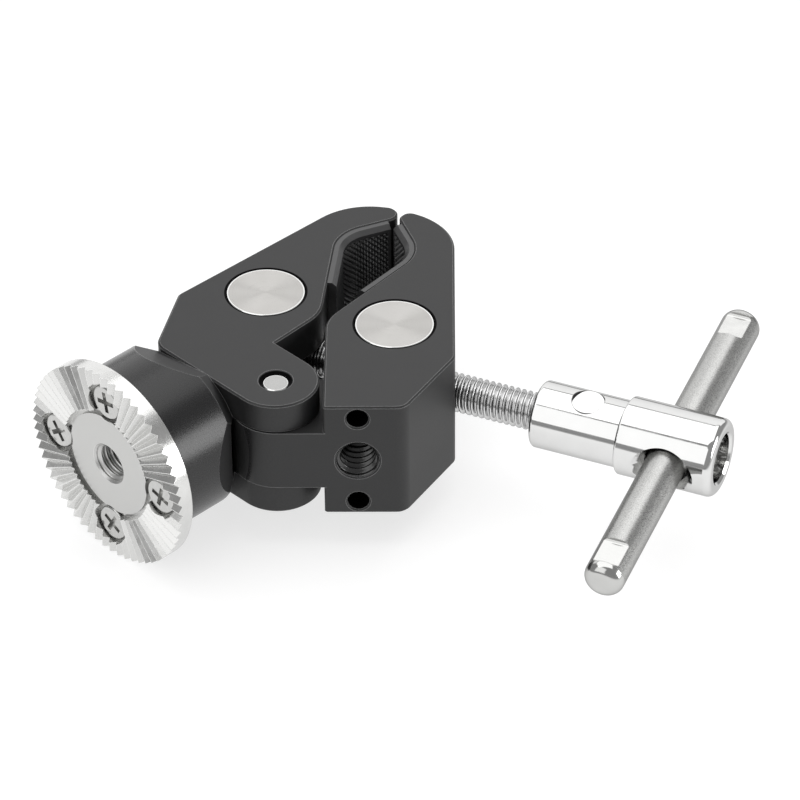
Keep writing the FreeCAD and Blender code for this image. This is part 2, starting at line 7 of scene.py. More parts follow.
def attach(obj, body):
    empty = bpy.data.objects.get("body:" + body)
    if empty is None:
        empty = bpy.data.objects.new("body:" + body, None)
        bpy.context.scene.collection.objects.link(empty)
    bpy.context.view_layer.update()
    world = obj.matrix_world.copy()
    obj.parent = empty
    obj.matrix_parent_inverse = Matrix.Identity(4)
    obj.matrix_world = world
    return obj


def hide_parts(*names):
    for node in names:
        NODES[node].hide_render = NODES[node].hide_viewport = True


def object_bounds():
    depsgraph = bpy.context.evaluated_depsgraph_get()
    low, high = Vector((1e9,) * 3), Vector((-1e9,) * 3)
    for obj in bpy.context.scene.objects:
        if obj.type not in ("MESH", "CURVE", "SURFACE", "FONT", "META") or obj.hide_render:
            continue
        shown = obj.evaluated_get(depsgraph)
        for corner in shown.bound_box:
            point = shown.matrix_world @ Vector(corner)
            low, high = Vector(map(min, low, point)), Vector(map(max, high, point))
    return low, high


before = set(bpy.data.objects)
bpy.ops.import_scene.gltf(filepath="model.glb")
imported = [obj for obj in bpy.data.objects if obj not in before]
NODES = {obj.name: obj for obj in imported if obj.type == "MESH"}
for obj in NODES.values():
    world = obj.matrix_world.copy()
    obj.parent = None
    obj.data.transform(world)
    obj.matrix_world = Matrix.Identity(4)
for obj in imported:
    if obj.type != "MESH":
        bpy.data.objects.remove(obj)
CAD_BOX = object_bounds()

# Super clamp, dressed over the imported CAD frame, in metres. The origin is the mouth of the tripod
# thread in the right jaw's end face, +Z is the pivot's axis and +Y points to the jaw tips.

MM = 0.001

# The clamp's own measures, as in the CAD. Angles are in degrees. Stations run along the screw from the
# left trunnion, and the bar's ends are measured along the bar from the screw's axis
PIVOT = Vector((-11.94, 6.57, 0.0)) * MM
LINK_RADIUS = 22.1 * MM
LEFT_TRUNNION_ANGLE = 95.4
RIGHT_TRUNNION_ANGLE = 38.9
CLOSING_ANGLE = 67.15
BAR_STATION = 65.46 * MM
CROSS_PIN_STATION = 51.95 * MM
BAR_TILT = 6.1
BAR_RADIUS = 3.0 * MM
BAR_FRONT_END = 30.2 * MM
BAR_REAR_END = -29.5 * MM
STEM_DIRECTION = 225.0
STEM_OFFSET = 12.135 * MM
STEM_RADIUS = 13.1 * MM
CENTRE_FACE_RADIUS = 8.2 * MM
TEETH_INNER_RADIUS = 9.0 * MM
ROSETTE_RADIUS = 15.9 * MM
TRUNNION_RADIUS = 5.95 * MM
PIN_RADIUS = 2.05 * MM
LOCATING_OFFSET = 7.54 * MM
LOCATING_RADIUS = 1.6 * MM
LOCATING_DEPTH = 4.0 * MM

# Lines and borders that the materials draw
GAP_SHADE_EDGE = 0.06 * MM           # soft border of the painted shade in the gaps
# Outer radii of the painted shade round the trunnions and round the pivot pin
TRUNNION_SHADE_REACH = TRUNNION_RADIUS + 0.26 * MM
PIN_SHADE_REACH = PIN_RADIUS + 0.37 * MM
HIGHLIGHT_RIM_WIDTH = 0.28 * MM          # rim of the trunnions and the pivot pin, with a painted highlight
JOINT_RADIUS = 2.42 * MM       # round the head of the hub's pin
STEM_TURNED_START = 6.2 * MM
STEM_TURNED_FULL = 6.6 * MM
DOME_LENGTH = 1.6 * MM         # smoother stretch at each end of the bar

UP = Vector((0, 0, 1))
ORIGIN = Vector((0, 0, 0))
INTO_END_FACE = Vector((0, 1, 0))


def polar(radius, degrees):
    angle = math.radians(degrees)
    return Vector((radius * math.cos(angle), radius * math.sin(angle), 0))


LEFT_TRUNNION = PIVOT + polar(LINK_RADIUS, LEFT_TRUNNION_ANGLE)
RIGHT_TRUNNION = PIVOT + polar(LINK_RADIUS, RIGHT_TRUNNION_ANGLE)
SCREW_AXIS = (RIGHT_TRUNNION - LEFT_TRUNNION).normalized()
BAR_AXIS = SCREW_AXIS.cross(UP) * math.cos(math.radians(BAR_TILT)) - UP * math.sin(math.radians(BAR_TILT))
CROSS_PIN_AXIS = BAR_AXIS.cross(SCREW_AXIS).normalized()
BAR_CENTRE = LEFT_TRUNNION + SCREW_AXIS * BAR_STATION
STEM_AXIS = polar(1, STEM_DIRECTION)
STEM_ORIGIN = PIVOT - polar(STEM_OFFSET, STEM_DIRECTION + 90)
ALONG_CLOSING = polar(1, CLOSING_ANGLE)
ACROSS_CLOSING = polar(1, CLOSING_ANGLE - 90)


# ---------------------------------------------------------------- meshes

def new_piece(name, vertices, faces, body, material, sharp_angle):
    """Piece of the visual model; edges sharper than sharp_angle (degrees) stay sharp."""
    mesh = bpy.data.meshes.new(name)
    mesh.from_pydata([tuple(v) for v in vertices], [], faces)
    mesh.validate()
    for polygon in mesh.polygons:
        polygon.use_smooth = True
    mesh.set_sharp_from_angle(angle=math.radians(sharp_angle))
    mesh.materials.append(material)
    piece = bpy.data.objects.new(name, mesh)
    bpy.context.scene.collection.objects.link(piece)
    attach(piece, body)
    return piece


def square_axes(axis):
    """Two unit vectors that make a right-handed frame with an axis."""
    side = axis.cross(UP if abs(axis.z) < 0.9 else Vector((1, 0, 0))).normalized()
    return side, axis.cross(side).normalized()


def turned(origin, axis, stations, radius_at, segments):
    """Rings of points round an axis; radius_at(station, turn) gives the radius, turn from 0 to 1."""
    side, rise = square_axes(axis)
    vertices = []
    for station in stations:
        for step in range(segments):
            turn = step / segments
            angle = 2 * math.pi * turn
            outward = side * math.cos(angle) + rise * math.sin(angle)
            vertices.append(origin + axis * station + outward * radius_at(station, turn))
    return vertices


def tube_faces(rings, segments, first=0, flip=False):
    """Faces between rings of points that start at vertex first; flip turns them inside out."""
    faces = []
    for ring in range(rings - 1):
        for step in range(segments):
            following = (step + 1) % segments
            low = first + ring * segments
            high = low + segments
            face = (low + step, low + following, high + following, high + step)
            faces.append(face[::-1] if flip else face)
    return faces


def thread_shape(phase, crest, root, crest_share, root_share):
    """Radius over one pitch: a rounded crest, straight flanks and a rounded root."""
    phase = phase % 1.0
    flank = (1.0 - crest_share - root_share) / 2
    if phase < flank:
        share = phase / flank
    elif phase < flank + crest_share:
        share = 1.0
    elif phase < 2 * flank + crest_share:
        share = 1.0 - (phase - flank - crest_share) / flank
    else:
        share = 0.0
    smooth = share * share * (3 - 2 * share)
    return root + (crest - root) * (0.5 * share + 0.5 * smooth)


def spaced(start, end, step):
    """Evenly spaced values from start to end, about one step apart."""
    count = max(1, round((end - start) / step))
    return [start + (end - start) * index / count for index in range(count + 1)]


# ---------------------------------------------------------------- materials

NOISE_LOW = 0.3                # a noise's values lie mostly between these two
NOISE_HIGH = 0.7


class Graph:
    """Node graph of one material with short calls for the nodes used here."""

    def __init__(self, name):
        self.material = bpy.data.materials.new(name)
        self.material.use_nodes = True
        self.tree = self.material.node_tree
        self.shader = self.tree.nodes["Principled BSDF"]
        self.place = self.tree.nodes.new("ShaderNodeTexCoord").outputs["Object"]

    def set(self, **values):
        for key, value in values.items():
            self.shader.inputs[key.replace("_", " ")].default_value = value

    def link(self, source, target):
        self.tree.links.new(source, target)

    def node(self, kind, **settings):
        made = self.tree.nodes.new(kind)
        for key, value in settings.items():
            setattr(made, key, value)
        return made

    def put(self, socket, value):
        """Link another node's socket, or set a constant."""
        if isinstance(value, bpy.types.NodeSocket):
            self.link(value, socket)
        else:
            socket.default_value = value

    def math(self, operation, first, second=0.0, third=0.0):
        made = self.node("ShaderNodeMath", operation=operation)
        for socket, value in zip(made.inputs, (first, second, third)):
            self.put(socket, value)
        return made.outputs[0]

    def noise(self, size, detail=2.0, place=None):
        """Noise whose blobs are about size metres across."""
        made = self.node("ShaderNodeTexNoise")
        made.inputs["Scale"].default_value = 1.0 / size
        made.inputs["Detail"].default_value = detail
        self.link(place or self.place, made.inputs["Vector"])
        return made.outputs["Fac"]

    def lines(self, distance, size):
        """Noise that changes with one distance only: uneven fine lines across it."""
        combined = self.node("ShaderNodeCombineXYZ")
        self.link(distance, combined.inputs[0])
        return self.noise(size, 3.0, place=combined.outputs[0])

    def vector(self, operation, first, second=None):
        made = self.node("ShaderNodeVectorMath", operation=operation)
        self.link(first, made.inputs[0])
        if second is not None:
            self.put(made.inputs[1], second)
        return made.outputs["Value" if operation in ("DOT_PRODUCT", "LENGTH") else "Vector"]

    def along(self, origin, axis):
        """Distance of the shaded point along an axis from an origin, in metres."""
        return self.vector("DOT_PRODUCT", self.vector("SUBTRACT", self.place, origin), axis)

    def from_axis(self, origin, axis):
        """Distance of the shaded point from an axis, in metres."""
        away = self.vector("SUBTRACT", self.place, origin)
        return self.vector("LENGTH", self.vector("CROSS_PRODUCT", away, axis))

    def ramp(self, value, low, high, out_low, out_high):
        """Smooth step from out_low to out_high while the value goes from low to high."""
        made = self.node("ShaderNodeMapRange", interpolation_type="SMOOTHSTEP")
        self.put(made.inputs["Value"], value)
        made.inputs["From Min"].default_value = low
        made.inputs["From Max"].default_value = high
        self.put(made.inputs["To Min"], out_low)
        self.put(made.inputs["To Max"], out_high)
        return made.outputs["Result"]

    def spread(self, noise, low, high):
        """A noise stretched to run from low to high."""
        return self.ramp(noise, NOISE_LOW, NOISE_HIGH, low, high)

    def blend(self, share, first, second):
        """First value where the share is 0, second where it is 1."""
        return self.ramp(share, 0.0, 1.0, first, second)

    def mix(self, share, first, second):
        """Colour between two colours."""
        made = self.node("ShaderNodeMix", data_type="RGBA")
        self.put(made.inputs["Factor"], share)
        for socket, value in zip((made.inputs[6], made.inputs[7]), (first, second)):
            self.put(socket, value if isinstance(value, bpy.types.NodeSocket) else (*value, 1.0))
        return made.outputs[2]

    def edge(self, radius):
        """Normal rounded over sharp edges, and how far it turns away there, from 0 to 1."""
        bevel = self.node("ShaderNodeBevel", samples=6)
        bevel.inputs["Radius"].default_value = radius
        flat = self.node("ShaderNodeNewGeometry").outputs["Normal"]
        agreement = self.vector("DOT_PRODUCT", bevel.outputs[0], flat)
        return bevel.outputs[0], self.ramp(agreement, 0.999, 0.95, 0.0, 1.0)

    def rings(self, value, pitch):
        """Wave from 0 to 1 along a distance, for turning marks of that pitch."""
        wave = self.math("SINE", self.math("MULTIPLY", value, 2 * math.pi / pitch))
        return self.math("MULTIPLY_ADD", wave, 0.5, 0.5)

    def bump(self, height, depth, after=None):
        """Bump of a height field that runs from 0 to 1; depth is its real depth in metres."""
        made = self.node("ShaderNodeBump")
        made.inputs["Strength"].default_value = 1.0
        made.inputs["Distance"].default_value = depth
        self.link(height, made.inputs["Height"])
        if after is not None:
            self.link(after, made.inputs["Normal"])
        return made.outputs["Normal"]

    def finish(self, colour, roughness, normal=None, tangent=None):
        self.link(colour, self.shader.inputs["Base Color"])
        self.link(roughness, self.shader.inputs["Roughness"])
        if normal is not None:
            self.link(normal, self.shader.inputs["Normal"])
        if tangent is not None:
            self.link(tangent, self.shader.inputs["Tangent"])
        return self.material


def painted_gap_shade(g):
    """Share of the painted shade, black, in the gaps round the trunnions and the pin and inside the locating
    holes.
    """
    gap_shade = g.ramp(g.from_axis(PIVOT, UP), PIN_SHADE_REACH, PIN_SHADE_REACH + GAP_SHADE_EDGE, 1.0, 0.0)
    for centre in (LEFT_TRUNNION, RIGHT_TRUNNION):
        reach = g.from_axis(centre, UP)
        gap_shade = g.math("ADD", gap_shade, g.ramp(reach, TRUNNION_SHADE_REACH, TRUNNION_SHADE_REACH + GAP_SHADE_EDGE, 1.0, 0.0))
    depth = g.along(ORIGIN, INTO_END_FACE)
    below_mouth = g.ramp(depth, 0.3 * MM, 0.4 * MM, 0.0, 1.0)
    above_bottom = g.ramp(depth, LOCATING_DEPTH, LOCATING_DEPTH + 0.1 * MM, 1.0, 0.0)
    for height in (-LOCATING_OFFSET, LOCATING_OFFSET):
        reach = g.from_axis(UP * height, INTO_END_FACE)
        inside = g.ramp(reach, LOCATING_RADIUS + 0.02 * MM, LOCATING_RADIUS + GAP_SHADE_EDGE, 1.0, 0.0)
        inside = g.math("MULTIPLY", g.math("MULTIPLY", inside, below_mouth), above_bottom)
        gap_shade = g.math("ADD", gap_shade, inside)
    return g.math("MINIMUM", gap_shade, 1.0)


def anodised_black():
    """Bead-blasted black anodised aluminium; the round stem is turned and shinier, edges are lighter with a
    painted highlight and the gaps are black with painted shade.
    """
    g = Graph("black_anodised_aluminium")
    g.set(Metallic=0.0)
    along = g.along(STEM_ORIGIN, STEM_AXIS)
    radial = g.from_axis(STEM_ORIGIN, STEM_AXIS)
    past_start = g.ramp(along, STEM_TURNED_START, STEM_TURNED_FULL, 0.0, 1.0)
    at_surface = g.ramp(radial, STEM_RADIUS - 0.10 * MM, STEM_RADIUS - 0.03 * MM, 0.0, 1.0)
    on_stem = g.math("MULTIPLY", past_start, at_surface)
    grain = g.noise(0.16 * MM, 3.0)
    cloud = g.noise(6 * MM)
    dark = g.mix(cloud, (0.012, 0.012, 0.0125), (0.016, 0.016, 0.0165))
    matte = g.mix(g.ramp(grain, 0.35, 0.75, 0.0, 1.0), dark, (0.024, 0.024, 0.0245))
    colour = g.mix(on_stem, matte, (0.010, 0.010, 0.0105))
    rounded, turned_away = g.edge(0.16 * MM)
    # Lighter edges: a painted highlight along them, partly also wear showing bare metal
    colour = g.mix(g.math("MULTIPLY", turned_away, 0.8), colour, (0.24, 0.24, 0.24))
    # Painted shade: black with the reflection turned down in the gaps round the trunnions and the pin and
    # inside the locating holes
    gap_shade = painted_gap_shade(g)
    colour = g.mix(gap_shade, colour, (0.0015, 0.0015, 0.0015))
    g.link(g.blend(gap_shade, 0.46, 0.03), g.shader.inputs["Specular IOR Level"])
    roughness = g.blend(on_stem, g.spread(grain, 0.46, 0.54), g.spread(grain, 0.22, 0.30))
    turning = g.math("MULTIPLY", g.rings(along, 0.22 * MM), on_stem)
    normal = g.bump(turning, 0.0010 * MM, after=rounded)
    normal = g.bump(grain, 0.006 * MM, after=normal)
    return g.finish(colour, roughness, normal)


def grip_rubber():
    """Black rubber with a slight gloss and a fine speckle."""
    g = Graph("grip_rubber")
    g.set(Metallic=0.0, Specular_IOR_Level=0.85)
    speckle = g.noise(0.12 * MM, 3.0)
    cloud = g.noise(3 * MM)
    colour = g.mix(cloud, (0.022, 0.022, 0.023), (0.034, 0.034, 0.035))
    return g.finish(colour, g.spread(speckle, 0.30, 0.40), g.bump(speckle, 0.005 * MM))


def turned_steel(name, centre):
    """Face-turned disc: fine rings round its centre give the bow-tie sheen; its rim is smoother with a
    painted highlight.
    """
    g = Graph(name)
    g.set(Metallic=1.0, Anisotropic_Rotation=0.25)
    radial = g.from_axis(centre, UP)
    lines = g.lines(radial, 0.05 * MM)
    cloud = g.noise(5 * MM)
    colour = g.mix(g.spread(lines, 0.0, 1.0), (0.45, 0.44, 0.425), (0.52, 0.51, 0.49))
    colour = g.mix(g.spread(cloud, 0.0, 0.25), colour, (0.56, 0.55, 0.54))
    rim_start = TRUNNION_RADIUS - HIGHLIGHT_RIM_WIDTH
    rim = g.ramp(radial, rim_start - 0.06 * MM, rim_start, 0.0, 1.0)
    # Painted highlight on the rim
    colour = g.mix(rim, colour, (0.86, 0.86, 0.85))
    roughness = g.blend(rim, g.spread(lines, 0.27, 0.35), 0.12)
    g.link(g.blend(rim, 0.88, 0.0), g.shader.inputs["Anisotropic"])
    tangent = g.node("ShaderNodeTangent", direction_type="RADIAL", axis="Z")
    return g.finish(colour, roughness, g.bump(lines, 0.0015 * MM), tangent.outputs["Tangent"])


def polished_pin():
    """Polished end of the pivot pin with faint rings and a painted highlight on its rim."""
    g = Graph("polished_pin")
    g.set(Metallic=1.0)
    haze = g.noise(1.5 * MM, 3.0)
    radial = g.from_axis(PIVOT, UP)
    colour = g.mix(haze, (0.46, 0.46, 0.455), (0.50, 0.50, 0.49))
    rim_start = PIN_RADIUS - HIGHLIGHT_RIM_WIDTH
    rim = g.ramp(radial, rim_start - 0.08 * MM, rim_start, 0.0, 1.0)
    # Painted highlight on the rim
    colour = g.mix(rim, colour, (0.90, 0.90, 0.89))
    rings = g.rings(radial, 0.16 * MM)
    return g.finish(colour, g.spread(haze, 0.18, 0.22), g.bump(rings, 0.0006 * MM))


def screw_steel():
    """Bright rolled steel, streaky."""
    g = Graph("bright_screw_steel")
    g.set(Metallic=1.0, Specular_Tint=(0.45, 0.45, 0.45, 1.0))
    streak = g.noise(0.4 * MM, 3.0)
    colour = g.mix(streak, (0.58, 0.58, 0.58), (0.72, 0.72, 0.72))
    return g.finish(colour, g.spread(streak, 0.13, 0.24), g.bump(streak, 0.008 * MM))


def hub_chrome():
    """Polished chrome with faint polishing rings round the hub and a fine joint line round the pin."""
    g = Graph("hub_chrome")
    g.set(Metallic=1.0, Specular_Tint=(0.60, 0.60, 0.60, 1.0))
    along = g.along(LEFT_TRUNNION, SCREW_AXIS)
    haze = g.noise(2.2 * MM, 3.0)
    ripple = g.noise(0.9 * MM)
    colour = g.mix(haze, (0.68, 0.68, 0.675), (0.74, 0.74, 0.735))
    pin_centre = LEFT_TRUNNION + SCREW_AXIS * CROSS_PIN_STATION
    from_pin = g.from_axis(pin_centre, CROSS_PIN_AXIS)
    off_joint = g.math("ABSOLUTE", g.math("SUBTRACT", from_pin, JOINT_RADIUS))
    on_head_side = g.ramp(g.along(pin_centre, CROSS_PIN_AXIS), 2.0 * MM, 3.0 * MM, 0.0, 0.8)
    joint = g.math("MULTIPLY", g.ramp(off_joint, 0.04 * MM, 0.11 * MM, 1.0, 0.0), on_head_side)
    colour = g.mix(joint, colour, (0.16, 0.16, 0.16))
    roughness = g.spread(haze, 0.045, 0.11)
    normal = g.bump(g.rings(along, 0.33 * MM), 0.0005 * MM)
    normal = g.bump(ripple, 0.0015 * MM, after=normal)
    return g.finish(colour, roughness, normal)


def bar_steel():
    """Satin bar with a fine grain; its pressed flats and domed ends are smoother."""
    g = Graph("satin_bar_steel")
    g.set(Metallic=1.0, Specular_Tint=(0.45, 0.45, 0.45, 1.0))
    along = g.along(BAR_CENTRE, BAR_AXIS)
    radial = g.from_axis(BAR_CENTRE, BAR_AXIS)
    grain = g.noise(0.11 * MM, 3.0)
    haze = g.noise(2.5 * MM)
    front = g.ramp(along, BAR_FRONT_END - DOME_LENGTH - 0.15 * MM, BAR_FRONT_END - DOME_LENGTH, 0.0, 1.0)
    rear = g.ramp(along, BAR_REAR_END + DOME_LENGTH, BAR_REAR_END + DOME_LENGTH + 0.15 * MM, 1.0, 0.0)
    flat = g.ramp(radial, BAR_RADIUS - 0.06 * MM, BAR_RADIUS - 0.02 * MM, 1.0, 0.0)
    polish = g.math("MAXIMUM", g.math("MAXIMUM", front, rear), flat)
    rough = g.math("SUBTRACT", 1.0, polish)
    roughness = g.blend(polish, g.spread(grain, 0.24, 0.36), g.spread(haze, 0.10, 0.18))
    colour = g.mix(haze, (0.52, 0.52, 0.51), (0.58, 0.58, 0.57))
    speck = g.math("MULTIPLY", g.ramp(grain, 0.36, 0.64, 0.55, 0.0), rough)
    colour = g.mix(speck, colour, (0.24, 0.24, 0.235))
    depth = g.math("MULTIPLY", grain, g.math("SUBTRACT", 1.0, g.math("MULTIPLY", polish, 0.85)))
    return g.finish(colour, roughness, g.bump(depth, 0.010 * MM))


def rosette_steel():
    """Machined disc: bright cut teeth, a satin centre face and a brushed rim; a painted highlight runs along
    its sharp edges.
    """
    g = Graph("machined_rosette_steel")
    g.set(Metallic=1.0)
    along = g.along(STEM_ORIGIN, STEM_AXIS)
    radial = g.from_axis(STEM_ORIGIN, STEM_AXIS)
    grain = g.noise(0.10 * MM, 3.0)
    haze = g.noise(1.6 * MM)
    lines = g.lines(along, 0.06 * MM)
    on_face = g.ramp(radial, CENTRE_FACE_RADIUS, TEETH_INNER_RADIUS, 1.0, 0.0)
    on_rim = g.ramp(radial, ROSETTE_RADIUS - 0.05 * MM, ROSETTE_RADIUS - 0.01 * MM, 0.0, 1.0)
    colour = g.mix(haze, (0.62, 0.62, 0.61), (0.72, 0.72, 0.71))
    colour = g.mix(on_face, colour, (0.55, 0.55, 0.54))
    rounded, turned_away = g.edge(0.07 * MM)
    # Painted highlight along the crests of the teeth and the other sharp edges
    colour = g.mix(g.math("MULTIPLY", turned_away, 0.7), colour, (0.95, 0.95, 0.94))
    roughness = g.blend(on_face, g.spread(haze, 0.22, 0.30), g.spread(grain, 0.30, 0.40))
    roughness = g.blend(on_rim, roughness, g.spread(lines, 0.15, 0.26))
    normal = g.bump(g.math("MULTIPLY", lines, on_rim), 0.003 * MM, after=rounded)
    graininess = g.math("MULTIPLY_ADD", on_face, 0.7, 0.3)
    normal = g.bump(g.math("MULTIPLY", grain, graininess), 0.006 * MM, after=normal)
    return g.finish(colour, roughness, normal)


def fitting_steel():
    """Plated steel of the disc's screws, the washer and the ring."""
    g = Graph("plated_fitting_steel")
    g.set(Metallic=1.0)
    haze = g.noise(0.5 * MM, 3.0)
    colour = g.mix(haze, (0.46, 0.46, 0.45), (0.60, 0.60, 0.59))
    return g.finish(colour, g.spread(haze, 0.12, 0.26), g.bump(haze, 0.012 * MM))


def tapped_black():
    """Thread cut in the anodised jaw: black with smooth, glossy flanks."""
    g = Graph("tapped_black_aluminium")
    g.set(Metallic=0.0, Specular_IOR_Level=0.9)
    haze = g.noise(0.4 * MM, 3.0)
    colour = g.mix(haze, (0.006, 0.006, 0.006), (0.012, 0.012, 0.012))
    return g.finish(colour, g.spread(haze, 0.20, 0.28), g.bump(haze, 0.006 * MM))


POOL_INNER = 0.085             # the pool is full inside this distance and gone beyond the next
POOL_OUTER = 0.180
POOL_SQUASH = 0.55             # share by which distances along Y count
POOL_GLOW = 0.70


def pale_floor():
    """Matt pale sheet that glows in an oval pool round the object and so comes out white there."""
    g = Graph("pale_floor")
    g.set(Metallic=0.0, Specular_IOR_Level=0.2, Emission_Color=(1, 1, 1, 1))
    cloud = g.noise(0.5)
    reach = g.vector("LENGTH", g.vector("MULTIPLY", g.place, (1.0, POOL_SQUASH, 0.0)))
    glow = g.ramp(reach, POOL_INNER, POOL_OUTER, POOL_GLOW, 0.0)
    g.link(glow, g.shader.inputs["Emission Strength"])
    colour = g.mix(cloud, (0.36, 0.36, 0.36), (0.39, 0.39, 0.39))
    return g.finish(colour, g.spread(cloud, 0.80, 0.90))


BLACK = anodised_black()
RUBBER = grip_rubber()
SCREW_STEEL = screw_steel()
ROSETTE_STEEL = rosette_steel()
CHROME = hub_chrome()
FITTING = fitting_steel()
FINISHES = {
    "left_jaw": BLACK,
    "right_jaw": BLACK,
    "left_pad": RUBBER,
    "right_pad": RUBBER,
    "pivot_pin": polished_pin(),
    "left_trunnion": turned_steel("turned_steel_left", LEFT_TRUNNION),
    "right_trunnion": turned_steel("turned_steel_right", RIGHT_TRUNNION),
    "clamp_screw": SCREW_STEEL,
    "thrust_washer": FITTING,
    "screw_end_ring": FITTING,
    "handle_hub": CHROME,
    "hub_cross_pin": CHROME,
    "handle_bar": bar_steel(),
    "rosette_disc": ROSETTE_STEEL,
    "rosette_screws": FITTING,
}
for node, finish in FINISHES.items():
    for material_slot in NODES[node].material_slots:
        material_slot.material = finish


# ---------------------------------------------------------------- clamping screw

SCREW_PITCH = 1.0 * MM
SCREW_CREST = 2.9 * MM
SCREW_ROOT = 2.34 * MM
JOURNAL_RADIUS = 2.2 * MM
JOURNAL_END = -4.6 * MM
GROOVE_RADIUS = 1.75 * MM
GROOVE_START = -3.75 * MM
GROOVE_END = -2.95 * MM
SHOULDER_START = 3.75 * MM
THREAD_START = 4.35 * MM
THREAD_END = 45.6 * MM
SCREW_END = 56.5 * MM
THREAD_STEP = 0.0625 * MM
THREAD_SEGMENTS = 56
RUN_OUT = 0.7 * MM             # length over which the thread fades at each end
START_SHARE = 0.2              # share of the thread's depth at its inner end
SCREW_FLAT_SHARE = 0.16        # share of a pitch taken by the crest, and by the root
TINY = 0.001 * MM              # width of a step in a turned profile


def clamping_screw():
    """Screw with its helix: journal with a ring groove, shoulder, thread and plain end."""
    def radius_at(station, turn):
        if station < GROOVE_START or GROOVE_END < station < SHOULDER_START:
            return JOURNAL_RADIUS
        if station <= GROOVE_END:
            return GROOVE_RADIUS
        if station < THREAD_START or station > THREAD_END:
            return min(SCREW_CREST, SCREW_ROOT + max(0.0, station - SHOULDER_START))
        phase = station / SCREW_PITCH - turn
        cut = thread_shape(phase, SCREW_CREST, SCREW_ROOT, SCREW_FLAT_SHARE, SCREW_FLAT_SHARE)
        from_start = (station - THREAD_START) / RUN_OUT + START_SHARE
        ease = min(1.0, (THREAD_END - station) / RUN_OUT, from_start)
        return SCREW_CREST + (cut - SCREW_CREST) * ease

    stations = [JOURNAL_END, GROOVE_START - TINY, GROOVE_START, GROOVE_END, GROOVE_END + TINY,
                SHOULDER_START - TINY, SHOULDER_START, SHOULDER_START + 0.3 * MM]
    stations += spaced(THREAD_START, THREAD_END, THREAD_STEP)
    stations += [THREAD_END + TINY, SCREW_END]
    vertices = turned(LEFT_TRUNNION, SCREW_AXIS, stations, radius_at, THREAD_SEGMENTS)
    faces = tube_faces(len(stations), THREAD_SEGMENTS)
    last = (len(stations) - 1) * THREAD_SEGMENTS
    faces.append(tuple(reversed(range(THREAD_SEGMENTS))))
    faces.append(tuple(range(last, last + THREAD_SEGMENTS)))
    piece = new_piece("screw_thread", vertices, faces, "screw", SCREW_STEEL, 50)
    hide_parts("clamp_screw")


# ---------------------------------------------------------------- threads in the holes

SLEEVE_GAP = 0.004 * MM         # between the sleeve's outer side and the hole's wall
SLEEVE_ROOT_GAP = 0.03 * MM     # between the thread's root and the hole's wall
SLEEVE_CREST_SHARE = 0.14
SLEEVE_ROOT_SHARE = 0.10
SLEEVE_SEGMENTS = 64
SLEEVE_STEPS = 18               # rings of points in one pitch

TRIPOD_PITCH = 1.27 * MM        # 20 threads per inch
TRIPOD_MAJOR = 3.175 * MM
TRIPOD_MINOR = 2.56 * MM
ROSETTE_MAJOR = 3.0 * MM
ROSETTE_MINOR = 2.47 * MM


def thread_sleeve(name, body, material, mouth, axis, start, end, pitch, major, minor):
    """Thread ridges inside a plain hole: a thin closed sleeve whose inner side is the thread."""
    wall = major - SLEEVE_GAP
    root = major - SLEEVE_ROOT_GAP
    segments = SLEEVE_SEGMENTS

    def inner(station, turn):
        phase = station / pitch + turn
        cut = thread_shape(phase, minor, root, SLEEVE_CREST_SHARE, SLEEVE_ROOT_SHARE)
        ease = min(1.0, (station - start) / (0.5 * pitch), (end - station) / (0.5 * pitch))
        return root + (cut - root) * max(0.0, ease)

    stations = spaced(start, end, pitch / SLEEVE_STEPS)
    rings = len(stations)
    vertices = turned(mouth, axis, stations, inner, segments)
    vertices += turned(mouth, axis, [start, end], lambda station, turn: wall, segments)
    faces = tube_faces(rings, segments, flip=True)
    outer = rings * segments
    faces += tube_faces(2, segments, first=outer)
    last = (rings - 1) * segments
    outer_last = outer + segments
    for step in range(segments):
        following = (step + 1) % segments
        faces.append((step, following, outer + following, outer + step))
        faces.append((last + following, last + step, outer_last + step, outer_last + following))
    new_piece(name, vertices, faces, body, material, 50)


def hole_threads():
    thread_sleeve("tripod_thread", "right_jaw", tapped_black(), ORIGIN, INTO_END_FACE,
                  0.3 * MM, 10.7 * MM, TRIPOD_PITCH, TRIPOD_MAJOR, TRIPOD_MINOR)
    thread_sleeve("rosette_thread", "left_jaw", ROSETTE_STEEL, STEM_ORIGIN, STEM_AXIS,
                  11.0 * MM, 21.95 * MM, SCREW_PITCH, ROSETTE_MAJOR, ROSETTE_MINOR)


# ---------------------------------------------------------------- knurled pads

# Side -1 is the left jaw and 1 the right jaw. The seat's corner is given as (distance along, distance
# from) the closing line, the jaws' corners as (x, y) from the pivot
SEAT_CORNER = (37.65 * MM, 6.84 * MM)
SEAT_CORNER_RADIUS = 6.5 * MM
JAW_THROAT = {-1: (6.24, 16.65), 1: (6.97, 15.16)}
JAW_TIP = {-1: (21.67, 43.17), 1: (16.61, 44.14)}
PAD_LOWER_LENGTH = 12.92 * MM
PAD_UPPER_LENGTH = 8.28 * MM   # stops clear of the closing line
PAD_THICKNESS = 1.4 * MM
PAD_HALF_HEIGHT = 9.6 * MM
PAD_CHAMFER = 0.65 * MM
PAD_BORDER = 0.55 * MM         # smooth strip between the chamfer and the knurl
KNURL_PERIOD = 0.95 * MM
KNURL_DEPTH = 0.42 * MM
KNURL_STEPS = 8                # mesh steps in one period
KNURL_GROOVE_SHARE = 0.62      # share of a period that the groove takes


def knurl(run, height):
    """Depth of the diamond knurl below the grip surface, from 0 on a crest to 1 in a groove."""
    depth = 0.0
    for direction in (1, -1):
        phase = ((run + direction * height) / KNURL_PERIOD) % 1.0
        ridge = 1.0 - abs(2 * phase - 1.0)
        groove = max(0.0, (KNURL_GROOVE_SHARE - ridge) / KNURL_GROOVE_SHARE)
        depth = max(depth, groove)
    return depth


